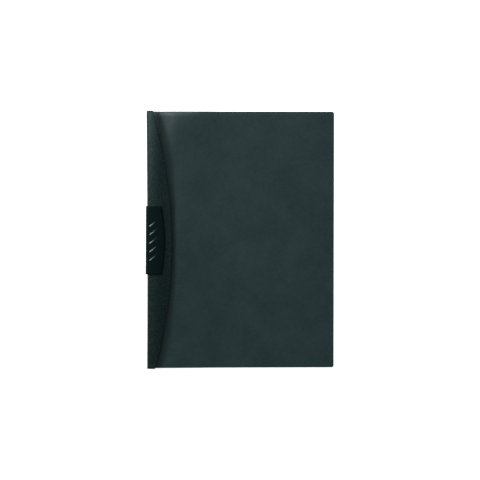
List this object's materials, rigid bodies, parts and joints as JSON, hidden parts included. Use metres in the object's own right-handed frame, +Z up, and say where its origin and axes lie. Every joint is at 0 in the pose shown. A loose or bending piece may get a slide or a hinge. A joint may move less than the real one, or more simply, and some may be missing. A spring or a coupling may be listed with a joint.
{
  "type": "clip folder",
  "caption": "A4 polypropylene clip folder with a bow-edged spine flap, a hinged front cover and a moulded clip that swings out.",
  "frame": {"origin": "middle of the folder's underside, on the table that it lies on", "axes": "+X from the spine to the open edge, +Y from foot to head, +Z up out of the front cover"},
  "size_m": [0.2278, 0.312, 0.0084],
  "materials": {
    "back_cover": "finely grained",
    "front_cover": "smooth, slightly translucent, satin",
    "cover_strip": "smooth, slightly translucent, satin",
    "swing_clip": "satin with polished ribs",
    "pivot_rivet": "dark satin"
  },
  "bodies": {
    "folder": {"back_cover": "back_cover", "cover_strip": "cover_strip", "pivot_rivet": "pivot_rivet"},
    "cover": {"front_cover": "front_cover"},
    "clip": {"swing_clip": "swing_clip"}
  },
  "joints": [
    {"name": "front_cover_crease", "type": "hinge", "parent": "folder", "child": "cover", "pos_m": [-0.07556, 0, 0.003], "axis": [0, -1, 0], "range_deg": [0, 150]},
    {"name": "clip_swing", "type": "hinge", "parent": "folder", "child": "clip", "pos_m": [-0.10586, 0.0333, 0.0016], "axis": [0, 0, -1], "range_deg": [0, 90]}
  ]
}
